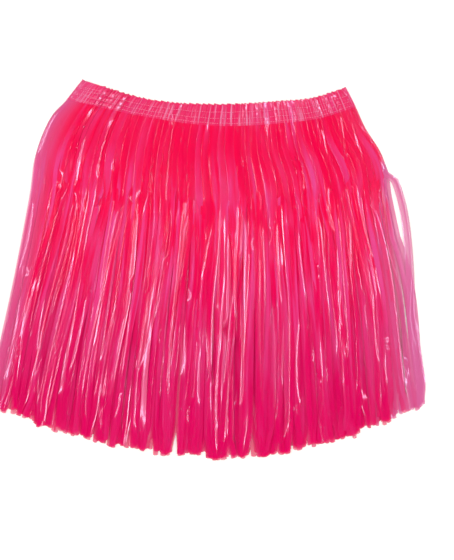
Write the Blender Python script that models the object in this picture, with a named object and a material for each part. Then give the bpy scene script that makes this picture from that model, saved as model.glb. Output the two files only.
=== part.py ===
"""A child's plastic-film grass skirt, laid flat on a table with its waist at +Y.

The film is folded in half over a waist elastic, gathered by three rows of stitching, and slit
into strips below a whole yoke. Laid flat it is a stack, from the table up: back outer ply,
back inner ply, front inner ply, front outer ply. Lengths are millimetres until an object is made.
"""

import math
import random
from collections import namedtuple

import bmesh
import bpy
import numpy as np

MILLIMETRE = 0.001
GAP = 0.35  # clearance between pieces that lie on each other or meet at a seam

# Driving sizes of the garment.
BAND_DEPTH = 21.0  # waist edge to the foot of the gathered band
SLIT_DROP = 75.0  # waist edge to the line where the slits begin
SKIRT_DROP = 359.0  # waist edge to the tips, down the middle
FILM_WALL = 1.2  # wall of one ply of film, with the air that its creases hold
STRIP_DEPTH = 4.0  # uncut strip that carries each row of strands
GATHERS = 48  # gathers across one side of the band
STRANDS = 62  # strands that each ply is slit into
CROWN = 3.0  # how far the front plies stand up over the middle of the skirt

# Lines across the laid skirt, measured from the middle of the waist edge, y up to the waist.
# Each has its two ends and its height at a quarter, half and three quarters of the way across.
Ring = namedtuple(
    "Ring", "name drop left_x left_y quarter_y middle_y three_quarter_y right_x right_y"
)
RINGS = (
    Ring("waist edge", 0.0, -130.5, 25.5, 5.7, 0.5, 4.1, 141.8, 18.4),
    Ring("band foot", BAND_DEPTH, -144.8, 5.1, -11.2, -21.4, -18.7, 147.5, -2.0),
    Ring("hip", 45.0, -158.1, -10.2, -35.5, -46.5, -43.0, 160.1, -23.0),
    Ring("slit line", SLIT_DROP, -171.4, -37.7, -64.5, -76.5, -71.5, 176.0, -49.0),
    Ring("thigh", 130.0, -180.5, -91.8, -116.5, -129.5, -122.5, 187.0, -96.9),
    Ring("knee", 220.0, -196.4, -176.5, -206.0, -220.0, -210.0, 205.5, -178.5),
    Ring("tips", SKIRT_DROP, -224.4, -309.0, -342.7, -359.0, -345.8, 224.4, -304.0),
)
ACROSS = (0.0, 0.25, 0.5, 0.75, 1.0)

# Rows of the gathered band: how high its outer face stands, and how deep its gathers are.
BandRow = namedtuple("BandRow", "name drop height gather")
BAND_ROWS = (
    BandRow("header edge", 0.0, 1.5, 2.2),
    BandRow("header", 4.2, 1.8, 2.3),
    BandRow("first stitching", 8.0, 1.6, 1.2),
    BandRow("upper channel", 11.0, 2.1, 1.8),
    BandRow("second stitching", 14.0, 1.6, 1.2),
    BandRow("lower channel", 16.4, 2.1, 1.8),
    BandRow("third stitching", 18.6, 1.6, 1.2),
    BandRow("band foot", BAND_DEPTH - GAP, 1.6, 2.0),
)
HIDDEN_BAND_ROWS = (BAND_ROWS[0], BAND_ROWS[2], BAND_ROWS[-1])
SCALLOP = 0.8  # how far each gather's crest stands past the waist edge
SHALLOWEST_GATHER = 0.55  # share of a row's full gather
UNEVEN_GATHERS = 0.3  # share of its own half width that a crest or valley is moved
JOIN_END = 0.07  # share of the band, at the left, where the elastic's ends are sewn flat
JOIN_BLEND = 0.03  # share of the band over which the gathers begin beside the join
JOIN_RELIEF = 0.15  # share of a gather that still stands in the join
EDGE_ROUNDING = 0.02  # share of the band, at each side fold, that is rounded
EDGE_HEIGHT = 0.45  # share of the band's height right at a side fold
BACK_BAND_Z = 0.0
FRONT_BAND_Z = 4.2

# The four plies: height of the underside at the band's foot and at the slit line, the share of
# the crown that lifts it, how deep its folds are at the band's foot and at the slit line, which
# way its strands are creased, and the places along a strand.
Ply = namedtuple("Ply", "name foot_z slit_z crown_share foot_fold slit_fold crease_up stations")
SHOWN_STATIONS = (0.0, 0.1, 0.28, 0.5, 0.75, 1.0)
HIDDEN_STATIONS = (0.0, 0.13, 0.38, 0.68, 1.0)
PLIES = (
    Ply("back_outer", 0.0, 0.0, 0.0, 0.0, 0.0, False, HIDDEN_STATIONS),
    Ply("back_inner", 1.7, 1.9, 0.2, 0.0, 0.0, False, HIDDEN_STATIONS),
    Ply("front_inner", 4.2, 3.6, 0.65, 0.0, 0.0, True, HIDDEN_STATIONS),
    Ply("front_outer", 5.8, 5.3, 1.0, 2.3, 1.0, True, SHOWN_STATIONS),
)
PLAIN_COLUMNS = 16  # columns of a yoke without folds
PLAIN_ROWS = 3
FOLDED_ROWS = 6
FOLDS_BEGIN = 0.024  # shares of the yoke's width: the left hip is smooth up to the first,
FOLDS_FULL = 0.104  # and the folds have their full depth past the second
CROWN_POWER = 4  # how flat the crown is across the middle
SHALLOWEST_FOLD = 0.35  # share of a ply's full fold

# The broad fold at the left hip, from just under the band down towards the side.
HIP_FOLD_TOP = (-120.0, -12.0)
HIP_FOLD_FOOT = (-141.0, -37.0)
HIP_FOLD_HEIGHT = 2.4
HIP_FOLD_WIDTH = 5.0

# Strands: each ply's strands lie in two lanes of height, and neighbours take turns.
LANE_PITCH = 1.42
LANE_FLOOR = 0.4  # lowest strand above the table
STRAND_RISE = 1.0  # height of a strand's crease above its flat
STRAND_WIDTH = 5.6
NARROWEST_STRAND = 0.8  # share of the full width
CREASE_LEAN = 0.4  # most that a crease leaves the middle of its strand, as a share of half its width
ROOT_WIDTH = 5.0
ROOT_DEPTH = 1.6  # how far a strand's root runs into its strip
ROOT_LIFT = 0.1  # a root's flat above the underside of its strip
SETTLE = 40.0  # length over which strands leave their strip for their lanes
WANDER = 2.9  # most that a strand leaves its own line, to either side
LEAST_WANDER = 0.4  # share of that
WAVES = 1.1  # sideways waves along a strand
FREE_START = 0.3  # share of a strand's length over which its waves grow to full size
RAGGED = 4.5  # most that a strand's tip is short of the hem
BOWED_STRANDS = 2  # loose strands at the right side of each inner ply, which bow outward
BOW = 11.5
BOW_TOP = 78.0  # drops between which they stand clear
BOW_FOOT = 240.0
BOW_LEAN = 0.7  # under 1, the bow is fullest above its middle
SEED = 11

SHARP_ANGLE = math.radians(18)
FILM_COLOUR = (0.87, 0.025, 0.13, 1.0)
FILM_ROUGHNESS = 0.28


def smooth(knots, values, at):
    """A smooth curve through (knots, values), read at one place."""
    slopes = np.gradient(values, knots)
    i = int(np.clip(np.searchsorted(knots, at) - 1, 0, len(knots) - 2))
    span = knots[i + 1] - knots[i]
    t = (at - knots[i]) / span
    return (
        values[i] * (2 * t**3 - 3 * t**2 + 1)
        + values[i + 1] * (3 * t**2 - 2 * t**3)
        + slopes[i] * span * (t**3 - 2 * t**2 + t)
        + slopes[i + 1] * span * (t**3 - t**2)
    )


def ease(t):
    """A smooth step from 0 to 1."""
    t = min(max(t, 0.0), 1.0)
    return t * t * (3 - 2 * t)


def yoke_share(drop):
    """A smooth step from 0 at the band's foot to 1 at the slit line."""
    return ease((drop - BAND_DEPTH) / (SLIT_DROP - BAND_DEPTH))


def place(across, drop):
    """The point of the laid skirt this share of the way across, this far below the waist."""
    drops = [ring.drop for ring in RINGS]
    column = {
        field: smooth(drops, [getattr(ring, field) for ring in RINGS], drop)
        for field in Ring._fields[2:]
    }
    x = column["left_x"] + (column["right_x"] - column["left_x"]) * across
    heights = [
        column["left_y"],
        column["quarter_y"],
        column["middle_y"],
        column["three_quarter_y"],
        column["right_y"],
    ]
    return x, smooth(ACROSS, heights, across)


def crown(across, drop):
    """How far the front stands up here: none at the band and the side folds."""
    return CROWN * (1 - (2 * across - 1) ** CROWN_POWER) * yoke_share(drop)


def fold_edge(across):
    """1 over most of the band, falling to a rounded edge at each side fold."""
    inward = min(min(across, 1 - across) / EDGE_ROUNDING, 1.0)
    return EDGE_HEIGHT + (1 - EDGE_HEIGHT) * math.sqrt(1 - (1 - inward) ** 2)


def ply_floor(ply, across, drop):
    """The underside of a ply above the table."""
    flat = ply.foot_z + (ply.slit_z - ply.foot_z) * yoke_share(drop)
    return flat + ply.crown_share * crown(across, drop)


def fold_depths():
    """A depth share for each fold of the yoke, uneven as real ones are."""
    pick = random.Random(SEED)
    return [pick.uniform(SHALLOWEST_FOLD, 1.0) for _ in range(STRANDS // 2)]


def crease_place(index):
    """Where a strand's crease lies across its ply: the ends of the count are the side folds."""
    return min(max((index + 0.5) / STRANDS, 0.0), 1.0)


def strand_fold(ply, index, drop):
    """How far a ply stands up at one strand's crease: every second strand hangs from a fold."""
    if index % 2 == 0 or not 0 <= index < STRANDS:
        return 0.0
    depth = ply.foot_fold + (ply.slit_fold - ply.foot_fold) * yoke_share(drop)
    past_hip = ease((index / STRANDS - FOLDS_BEGIN) / (FOLDS_FULL - FOLDS_BEGIN))
    return depth * fold_depths()[index // 2] * past_hip


def hip_fold(x, y):
    """How far the broad fold at the left hip stands up here."""
    top, foot = np.array(HIP_FOLD_TOP), np.array(HIP_FOLD_FOOT)
    run = foot - top
    along = float(np.dot(np.array((x, y)) - top, run) / np.dot(run, run))
    nearest = top + run * min(max(along, 0.0), 1.0)
    away = math.dist((x, y), nearest) / HIP_FOLD_WIDTH
    return HIP_FOLD_HEIGHT * math.exp(-away * away)


def relief(ply, index, drop):
    """How far a ply's folds lift one strand's crease above the ply's plain floor."""
    if not ply.foot_fold:
        return 0.0
    return max(strand_fold(ply, index, drop), hip_fold(*place(crease_place(index), drop)))


def film_material(name):
    """The pink film's finish, for one object."""
    material = bpy.data.materials.new(name + "_film")
    material.use_nodes = True
    shader = material.node_tree.nodes["Principled BSDF"]
    shader.inputs["Base Color"].default_value = FILM_COLOUR
    shader.inputs["Roughness"].default_value = FILM_ROUGHNESS
    shader.inputs["Metallic"].default_value = 0.0
    return material


def add_object(name, bm, collection):
    """A mesh object of this bmesh, whose points are in millimetres."""
    bmesh.ops.scale(bm, vec=(MILLIMETRE,) * 3, verts=bm.verts)
    mesh = bpy.data.meshes.new(name)
    bm.to_mesh(mesh)
    bm.free()
    mesh.shade_smooth()
    mesh.set_sharp_from_angle(angle=SHARP_ANGLE)
    mesh.materials.append(film_material(name))
    piece = bpy.data.objects.new(name, mesh)
    collection.objects.link(piece)
    return piece


def wall(columns, rows, face, underside):
    """A closed wall over a grid: face(column, row) is a point, underside(column, row) a height."""
    bm = bmesh.new()
    made = bmesh.ops.create_grid(bm, x_segments=columns, y_segments=rows, size=0.5)
    cells = {}
    for vertex in made["verts"]:
        column = round((vertex.co.x + 0.5) * columns)
        row = round((0.5 - vertex.co.y) * rows)
        cells[column, row] = vertex
    for (column, row), vertex in cells.items():
        vertex.co = face(column, row)
    lower = {}
    for (column, row), vertex in cells.items():
        lower[column, row] = bm.verts.new((vertex.co.x, vertex.co.y, underside(column, row)))
    for column in range(columns):
        for row in range(rows):
            corners = ((column, row), (column + 1, row), (column + 1, row + 1), (column, row + 1))
            bm.faces.new([lower[corner] for corner in corners])
    rim = (
        [(column, 0) for column in range(columns)]
        + [(columns, row) for row in range(rows)]
        + [(column, rows) for column in range(columns, 0, -1)]
        + [(0, row) for row in range(rows, 0, -1)]
    )
    for here, onward in zip(rim, rim[1:] + rim[:1]):
        bm.faces.new((cells[here], cells[onward], lower[onward], lower[here]))
    bmesh.ops.recalc_face_normals(bm, faces=bm.faces)
    return bm


def gather_places(pick):
    """Where each crest and valley lies across the band: valleys at even places, crests at odd."""
    halves = 2 * GATHERS
    shifts = [pick.uniform(-UNEVEN_GATHERS, UNEVEN_GATHERS) for _ in range(halves - 1)]
    return [0.0] + [(k + shift) / halves for k, shift in enumerate(shifts, start=1)] + [1.0]


def build_band(name, floor_z, rows, collection):
    """One side of the gathered band, between its two side folds."""
    pick = random.Random(f"{SEED} {name}")
    places = gather_places(pick)
    depths = [pick.uniform(SHALLOWEST_GATHER, 1.0) for _ in range(GATHERS + 1)]

    def face(column, row):
        across, line = places[column], rows[row]
        gathered = ease((across - JOIN_END) / JOIN_BLEND + 1)
        crest = (column % 2) * depths[column // 2] * (JOIN_RELIEF + (1 - JOIN_RELIEF) * gathered)
        x, y = place(across, line.drop)
        if row == 0:
            y += SCALLOP * crest
        height = (line.height + line.gather * crest) * fold_edge(across)
        return x, y, floor_z + height

    def underside(column, row):
        return floor_z

    return add_object(name, wall(2 * GATHERS, len(rows) - 1, face, underside), collection)


def build_ply_wall(ply, top_drop, foot_drop, rows, lifted=0.0):
    """A band of one ply between two drops. Its folds run down to the strands they become."""
    if ply.foot_fold:
        places = [crease_place(index) for index in range(-1, STRANDS + 1)]
    else:
        places = [k / PLAIN_COLUMNS for k in range(PLAIN_COLUMNS + 1)]

    def point(column, row):
        drop = top_drop + (foot_drop - top_drop) * row / rows
        x, y = place(places[column], drop)
        return x, y, ply_floor(ply, places[column], drop) + relief(ply, column - 1, drop)

    def face(column, row):
        x, y, height = point(column, row)
        return x, y, height + FILM_WALL

    def underside(column, row):
        return point(column, row)[2] + lifted

    return wall(len(places) - 1, rows, face, underside)


def build_yoke(ply, collection):
    """One ply of the whole film between the band and the slits."""
    top_drop, foot_drop = BAND_DEPTH + GAP / 2, SLIT_DROP - STRIP_DEPTH - GAP
    rows = FOLDED_ROWS if ply.foot_fold else PLAIN_ROWS
    return add_object("yoke_" + ply.name, build_ply_wall(ply, top_drop, foot_drop, rows), collection)


def bow(drop):
    """How far a loose strand at the right side stands out at this drop."""
    down = min(max((drop - BOW_TOP) / (BOW_FOOT - BOW_TOP), 0.0), 1.0)
    return BOW * math.sin(math.pi * down**BOW_LEAN)


def strand_path(ply, index, pick):
    """The points of one strand, (x, y, height of its underside), from its root to its tip."""
    across = crease_place(index)
    lane = 2 * PLIES.index(ply) + index % 2
    lane_share = lane / (2 * len(PLIES) - 1)
    sway = pick.uniform(LEAST_WANDER, 1.0) * WANDER
    phase = pick.uniform(0, 2 * math.pi)
    root = SLIT_DROP - ROOT_DEPTH
    tip = SKIRT_DROP - pick.uniform(0, RAGGED)
    root_z = ply_floor(ply, across, SLIT_DROP) + relief(ply, index, SLIT_DROP) + ROOT_LIFT
    bowed = ply.name.endswith("inner") and index >= STRANDS - BOWED_STRANDS
    points = []
    for station in ply.stations:
        drop = root + (tip - root) * station
        settled = ease((drop - SLIT_DROP) / SETTLE)
        x, y = place(across, drop)
        x += sway * math.sin(phase + 2 * math.pi * WAVES * station) * ease(station / FREE_START)
        if bowed:
            x += bow(drop)
        lane_z = LANE_FLOOR + LANE_PITCH * lane + lane_share * crown(across, drop)
        points.append((x, y, root_z + (lane_z - root_z) * settled))
    return points


def add_strand(bm, points, width, crease_up, lean):
    """A strand of film creased along its length: three sides, lofted along its points."""
    rings = []
    for k, (x, y, z) in enumerate(points):
        before, after = points[max(k - 1, 0)], points[min(k + 1, len(points) - 1)]
        run_x, run_y = after[0] - before[0], after[1] - before[1]
        length = math.hypot(run_x, run_y)
        side_x, side_y = -run_y / length, run_x / length
        half = (ROOT_WIDTH if k == 0 else width) / 2
        flat_z, crease_z = (z, z + STRAND_RISE) if crease_up else (z + STRAND_RISE, z)
        corners = ((-half, flat_z), (half, flat_z), (half * lean, crease_z))
        rings.append([bm.verts.new((x + side_x * out, y + side_y * out, up)) for out, up in corners])
    for near, far in zip(rings, rings[1:]):
        for k in range(3):
            onward = (k + 1) % 3
            bm.faces.new((near[k], near[onward], far[onward], far[k]))
    bm.faces.new(rings[0])
    bm.faces.new(rings[-1])


def build_fringe(ply, collection, helpers):
    """One ply's strands, fused at their roots into a narrow strip just clear of the yoke's edge."""
    pick = random.Random(f"{SEED} {ply.name}")
    lifted = GAP if ply.slit_z == 0 else 0.0
    bar = build_ply_wall(ply, SLIT_DROP - STRIP_DEPTH, SLIT_DROP, 1, lifted)
    strip = add_object("fringe_" + ply.name, bar, collection)
    bm = bmesh.new()
    for index in range(STRANDS):
        width = STRAND_WIDTH * pick.uniform(NARROWEST_STRAND, 1.0)
        lean = pick.uniform(-CREASE_LEAN, CREASE_LEAN)
        add_strand(bm, strand_path(ply, index, pick), width, ply.crease_up, lean)
    bmesh.ops.recalc_face_normals(bm, faces=bm.faces)
    strands = add_object("strands_" + ply.name, bm, helpers)
    strands.hide_render = True
    strands.display_type = "WIRE"
    fuse = strip.modifiers.new("fuse roots", "BOOLEAN")
    fuse.operation = "UNION"
    fuse.object = strands
    return strip


def centre_on_table(pieces):
    """An empty that carries the pieces so that their box stands centred on the origin."""
    bpy.context.view_layer.update()
    graph = bpy.context.evaluated_depsgraph_get()
    corners = []
    for piece in pieces:
        mesh = piece.evaluated_get(graph).to_mesh()
        corners += [vertex.co.copy() for vertex in mesh.vertices]
        piece.evaluated_get(graph).to_mesh_clear()
    low = [min(corner[axis] for corner in corners) for axis in range(3)]
    high = [max(corner[axis] for corner in corners) for axis in range(3)]
    carrier = bpy.data.objects.new("grass_skirt", None)
    carrier.location = (-(low[0] + high[0]) / 2, -(low[1] + high[1]) / 2, -low[2])
    return carrier


def main():
    for old in list(bpy.data.objects):
        bpy.data.objects.remove(old)
    garment = bpy.data.collections.new("grass skirt")
    helpers = bpy.data.collections.new("strands to fuse")
    bpy.context.scene.collection.children.link(garment)
    bpy.context.scene.collection.children.link(helpers)
    pieces = [
        build_band("waistband_back", BACK_BAND_Z, HIDDEN_BAND_ROWS, garment),
        build_band("waistband_front", FRONT_BAND_Z, BAND_ROWS, garment),
    ]
    for ply in PLIES:
        pieces.append(build_yoke(ply, garment))
        pieces.append(build_fringe(ply, garment, helpers))
    carrier = centre_on_table(pieces)
    for piece in list(garment.objects) + list(helpers.objects):
        piece.parent = carrier
    garment.objects.link(carrier)


main()
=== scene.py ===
"""The looks of a child's grass skirt of slit pink film, laid flat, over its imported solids.

Lengths inside the classes are millimetres, drawn from the middle of the waist edge with y up to
the waist. Drawing.to_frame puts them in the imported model's frame, in metres. The film is followed
by its own cut: how far along the cut edge a point lies, and its drop below the waist.
"""

import logging
import math
from dataclasses import dataclass, field
from enum import Enum

import bmesh
import bpy
import numpy as np
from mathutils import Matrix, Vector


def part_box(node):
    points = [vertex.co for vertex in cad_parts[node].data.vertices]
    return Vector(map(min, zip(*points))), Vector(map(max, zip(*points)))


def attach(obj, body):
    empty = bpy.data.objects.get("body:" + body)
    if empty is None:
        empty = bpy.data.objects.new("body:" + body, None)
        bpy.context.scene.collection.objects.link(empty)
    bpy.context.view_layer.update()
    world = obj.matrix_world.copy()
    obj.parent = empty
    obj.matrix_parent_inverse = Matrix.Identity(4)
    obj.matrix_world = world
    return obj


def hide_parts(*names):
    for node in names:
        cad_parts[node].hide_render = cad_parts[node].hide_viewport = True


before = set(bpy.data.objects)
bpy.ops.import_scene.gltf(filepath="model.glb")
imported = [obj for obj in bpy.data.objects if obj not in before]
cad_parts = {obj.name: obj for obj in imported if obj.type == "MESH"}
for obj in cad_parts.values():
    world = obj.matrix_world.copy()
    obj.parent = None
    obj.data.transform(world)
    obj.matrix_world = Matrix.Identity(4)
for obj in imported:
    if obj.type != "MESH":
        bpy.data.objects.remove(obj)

log = logging.getLogger("grass_skirt")

METRES = 0.001
BODY = "root"
CUT_MAP = "cut"

BAND_DEPTH = 21.0  # waist edge to the foot of the gathered band
STRIP_DROP = 71.0  # where the strips' own film begins
SLIT_DROP = 75.0  # where the slits begin
SKIRT_DROP = 359.0  # waist edge to the tips, down the middle
YOKE_EDGE_DROP = 21.175  # drops of the yoke solid's upper and lower edges
YOKE_FOOT_DROP = 70.65
CUT_WIDTH = 650.0  # film in one ply, cut edge to cut edge
PLY_STEP = 845.0  # from one ply's film to the next on the cut map
CROWN = 3.0  # how much higher the middle of the pile stands than its sides
CROWN_POWER = 4
TABLE_GAP = 0.12  # least height of the film's points above the table
FUSED = 1e-7  # metres within which two points are one
GOLDEN_SHARE = 0.618  # its multiples spread evenly, without a pattern
TURN = 6.28  # about one whole turn, in radians
TOP_LANE = 7.0  # the highest of the two layers of strips in each ply

# Lines across the laid skirt: their drops, their two ends, and a row of their heights for each of
# the places across.
RING_DROPS = (0.0, 21.0, 45.0, 75.0, 130.0, 220.0, 359.0)
RING_LEFT_X = (-127.9, -143.9, -158.1, -171.4, -180.5, -196.4, -224.4)
RING_RIGHT_X = (140.4, 150.6, 160.1, 176.0, 187.0, 204.0, 223.6)
RING_HEIGHTS = (
    (25.5, 5.1, -10.2, -37.7, -91.8, -176.5, -304.0),
    (5.7, -11.2, -35.5, -64.5, -116.5, -206.0, -342.7),
    (0.5, -21.4, -46.5, -76.5, -129.5, -220.0, -359.0),
    (3.7, -18.9, -43.0, -71.5, -122.5, -210.0, -345.8),
    (7.2, -14.0, -35.5, -61.9, -110.9, -195.6, -326.7),
    (17.8, -2.6, -23.3, -49.0, -96.9, -178.5, -304.0),
)
RING_ACROSS = (0.0, 0.25, 0.5, 0.75, 0.875, 1.0)

# The photograph: its size in pixels, how wide a pixel is at the skirt, and the drawing's origin.
PHOTO_SIZE = (454, 560)
PIXEL = 1.02
PHOTO_ORIGIN = (208.0, 105.0)

MIX_FIRST, MIX_SECOND, MIX_RESULT = 6, 7, 2  # a Mix node's colour inputs and its output

Array = np.ndarray
Colour = tuple[float, float, float, float]
Pair = tuple[float, float]
Socket = bpy.types.NodeSocket


def curve(knots: tuple[float, ...] | Array, values: Array, at: Array) -> Array:
    """A smooth curve through (knots, values), read at many places.

    Args:
        knots: rising places of the known values.
        values: one value for each knot, or a row of them for each knot, one for each place.
        at: the places to read.

    Returns:
        The curve's value at each place.
    """
    knots = np.asarray(knots, float)
    values = np.asarray(values, float)
    slopes = np.gradient(values, knots, axis=0)
    low = np.clip(np.searchsorted(knots, at) - 1, 0, len(knots) - 2)
    span = knots[low + 1] - knots[low]
    t = (at - knots[low]) / span
    if values.ndim == 1:
        near, far = low, low + 1
    else:
        places = np.arange(values.shape[1])
        near, far = (low, places), (low + 1, places)
    return (
        values[near] * (2 * t**3 - 3 * t**2 + 1)
        + values[far] * (3 * t**2 - 2 * t**3)
        + slopes[near] * span * (t**3 - 2 * t**2 + t)
        + slopes[far] * span * (t**3 - t**2)
    )


def ease(t: Array | float) -> Array:
    """A smooth step from 0 to 1."""
    t = np.clip(t, 0.0, 1.0)
    return t * t * (3 - 2 * t)


def bell(at: Array, middle: float, width: float) -> Array:
    """A smooth bump: 1 at its middle, and next to nothing two widths away."""
    return np.exp(-(((at - middle) / width) ** 2))


def yoke_share(drop: Array) -> Array:
    """A smooth step from 0 at the band's foot to 1 at the slit line."""
    return ease((drop - BAND_DEPTH) / (SLIT_DROP - BAND_DEPTH))


def photo_point(pixel: Pair) -> Pair:
    """Where a pixel of the photograph lies in the drawing."""
    return (pixel[0] - PHOTO_ORIGIN[0]) * PIXEL, (PHOTO_ORIGIN[1] - pixel[1]) * PIXEL


class Lean(Enum):
    """Which way a group of pleats is folded over."""

    RIGHT = 1.0
    LEFT = -1.0


@dataclass(frozen=True)
class Drawing:
    """The laid skirt's outline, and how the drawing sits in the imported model's frame."""

    shift_x: float
    shift_y: float

    @classmethod
    def from_frame(cls) -> "Drawing":
        """The drawing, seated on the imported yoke's outer corners.

        Returns:
            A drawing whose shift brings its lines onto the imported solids.
        """
        unmoved = cls(0.0, 0.0)
        low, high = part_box("yoke_back_outer")
        _, top = unmoved.place(np.array([0.0]), np.array([YOKE_EDGE_DROP]))
        side, _ = unmoved.place(np.array([0.0]), np.array([YOKE_FOOT_DROP]))
        return cls(low[0] / METRES - float(side[0]), high[1] / METRES - float(top[0]))

    def place(self, across: Array, drop: Array) -> tuple[Array, Array]:
        """Where a share of the way across, at a drop below the waist, lies on the drawing.

        Args:
            across: shares of the way from the left fold to the right one.
            drop: drops below the waist edge, the same shape.

        Returns:
            The x and y of each place.
        """
        across, drop = np.broadcast_arrays(np.asarray(across, float), np.asarray(drop, float))
        flat_across, flat_drop = across.ravel(), drop.ravel()
        left = curve(RING_DROPS, RING_LEFT_X, flat_drop)
        right = curve(RING_DROPS, RING_RIGHT_X, flat_drop)
        heights = np.array([curve(RING_DROPS, row, flat_drop) for row in RING_HEIGHTS])
        x = left + (right - left) * flat_across
        y = curve(RING_ACROSS, heights, flat_across)
        return x.reshape(across.shape), y.reshape(across.shape)

    def to_frame(self, points: Array) -> Array:
        """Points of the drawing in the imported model's frame, in metres."""
        return (points + np.array([self.shift_x, self.shift_y, 0.0])) * METRES


def crown(across: Array, drop: Array) -> Array:
    """How far the front stands up here: none at the band and at the side folds."""
    return CROWN * (1 - (2 * across - 1) ** CROWN_POWER) * yoke_share(drop)


@dataclass(frozen=True)
class CutNoise:
    """Noise drawn out along the film's length."""

    across: float  # its scale along the cut edge, for each metre
    along: float  # its scale down the film, for each metre
    detail: float
    offset: float  # moves the noise, so that two of them differ


class NodeBoard:
    """A material's nodes, added from left to right."""

    def __init__(self, name: str) -> None:
        """Starts a material with its shader alone.

        Args:
            name: the material's name.
        """
        self.material = bpy.data.materials.new(name)
        self.material.use_nodes = True
        self.tree = self.material.node_tree
        self.shader = self.tree.nodes["Principled BSDF"]

    def add(self, kind: str, **values: object) -> bpy.types.Node:
        """Adds a node.

        Args:
            kind: the node's type, without its ShaderNode beginning.
            values: its properties, or numbers and sockets for its inputs by lower-case name.

        Returns:
            The new node.
        """
        node = self.tree.nodes.new("ShaderNode" + kind)
        for name, value in values.items():
            if hasattr(node, name):
                setattr(node, name, value)
            else:
                self.feed(node, name.replace("_", " ").title(), value)
        return node

    def feed(self, node: bpy.types.Node, name: str | int, value: object) -> None:
        """Sets an input's number or colour, or links a socket to it.

        Args:
            node: the node that is fed.
            name: the name or place of its input.
            value: the number, colour or socket.
        """
        if isinstance(value, Socket):
            self.tree.links.new(value, node.inputs[name])
        else:
            node.inputs[name].default_value = value

    def dress(self, inputs: dict[str, object]) -> None:
        """Feeds the shader's own inputs by name."""
        for name, value in inputs.items():
            self.feed(self.shader, name, value)

    def bump(self, height: Socket, distance: float) -> None:
        """Bumps the surface.

        Args:
            height: the bump's height, from 0 to 1.
            distance: how high 1 is, in metres.
        """
        bump = self.add("Bump")
        self.feed(bump, "Height", height)
        self.feed(bump, "Distance", distance)
        self.feed(self.shader, "Normal", bump.outputs["Normal"])

    def on_object(self, kind: str, **values: object) -> bpy.types.Node:
        """Adds a node that is fed each point's place on its object.

        Args:
            kind: the node's type, as for add.
            values: its values, as for add.

        Returns:
            The new node.
        """
        node = self.add(kind, **values)
        self.feed(node, "Vector", self.add("TexCoord").outputs["Object"])
        return node

    def cut_point(self) -> Socket:
        """Each point's place on the cut film, in metres."""
        return self.add("UVMap", uv_map=CUT_MAP).outputs["UV"]

    def cut_noise(self, noise: CutNoise) -> Socket:
        """Adds noise on the cut film.

        Args:
            noise: its scales, detail and offset.

        Returns:
            The noise's socket, from 0 to 1.
        """
        placed = self.add("Mapping")
        self.feed(placed, "Vector", self.cut_point())
        self.feed(placed, "Scale", (noise.across, noise.along, 1.0))
        self.feed(placed, "Location", (noise.offset,) * 3)
        texture = self.add("TexNoise", detail=noise.detail, scale=1.0)
        self.feed(texture, "Vector", placed.outputs["Vector"])
        return texture.outputs["Fac"]

    def cut_split(self) -> tuple[Socket, Socket]:
        """Where a point lies on the cut film: along its edge and down it, in metres."""
        split = self.add("SeparateXYZ")
        self.feed(split, "Vector", self.cut_point())
        return split.outputs["X"], split.outputs["Y"]

    def reckon(self, operation: str, first: object, second: object) -> Socket:
        """A Math node's result.

        Args:
            operation: what it does with the two.
            first: a number or a socket.
            second: another one.

        Returns:
            The result's socket.
        """
        node = self.add("Math", operation=operation)
        self.feed(node, 0, first)
        self.feed(node, 1, second)
        return node.outputs["Value"]

    def ramp(self, socket: Socket, stops: tuple[Pair, ...]) -> Socket:
        """A number that follows a socket.

        Args:
            socket: what it follows.
            stops: rising places from 0 to 1, each with the number there.

        Returns:
            The number's socket.
        """
        ramp = self.add("ValToRGB")
        self.feed(ramp, "Fac", socket)
        elements = ramp.color_ramp.elements
        elements[0].position, elements[1].position = stops[0][0], stops[-1][0]
        for place, _ in stops[1:-1]:
            elements.new(place)
        for element, (_, value) in zip(elements, stops):
            element.color = (value, value, value, 1.0)
        return ramp.outputs["Color"]

    def spread(self, socket: Socket, low: float, high: float, start: float, end: float) -> Socket:
        """Spreads a socket's values smoothly.

        Args:
            socket: the values.
            low: the value that gives the start.
            high: the value that gives the end.
            start: the result at low and below.
            end: the result at high and above.

        Returns:
            The result's socket.
        """
        spread = self.add("MapRange", interpolation_type="SMOOTHSTEP")
        names = ("Value", "From Min", "From Max", "To Min", "To Max")
        for name, value in zip(names, (socket, low, high, start, end)):
            self.feed(spread, name, value)
        return spread.outputs["Result"]

    def mix(self, share: Socket, first: object, second: object) -> Socket:
        """Mixes two colours.

        Args:
            share: how much of the second one shows.
            first: a colour or a socket.
            second: another one.

        Returns:
            The mixed colour's socket.
        """
        mix = self.add("Mix", data_type="RGBA")
        for name, value in (("Factor", share), (MIX_FIRST, first), (MIX_SECOND, second)):
            self.feed(mix, name, value)
        return mix.outputs[MIX_RESULT]


# How strongly the pale streaks (partly painted sheen) show at drops in metres: little on the smooth
# yoke and at the hem.
STREAK_SHARES = (
    (0.014, 1.0),
    (0.022, 0.55),
    (0.040, 0.30),
    (0.055, 0.25),
    (0.092, 1.0),
    (0.190, 1.0),
    (0.340, 0.20),
)


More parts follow.
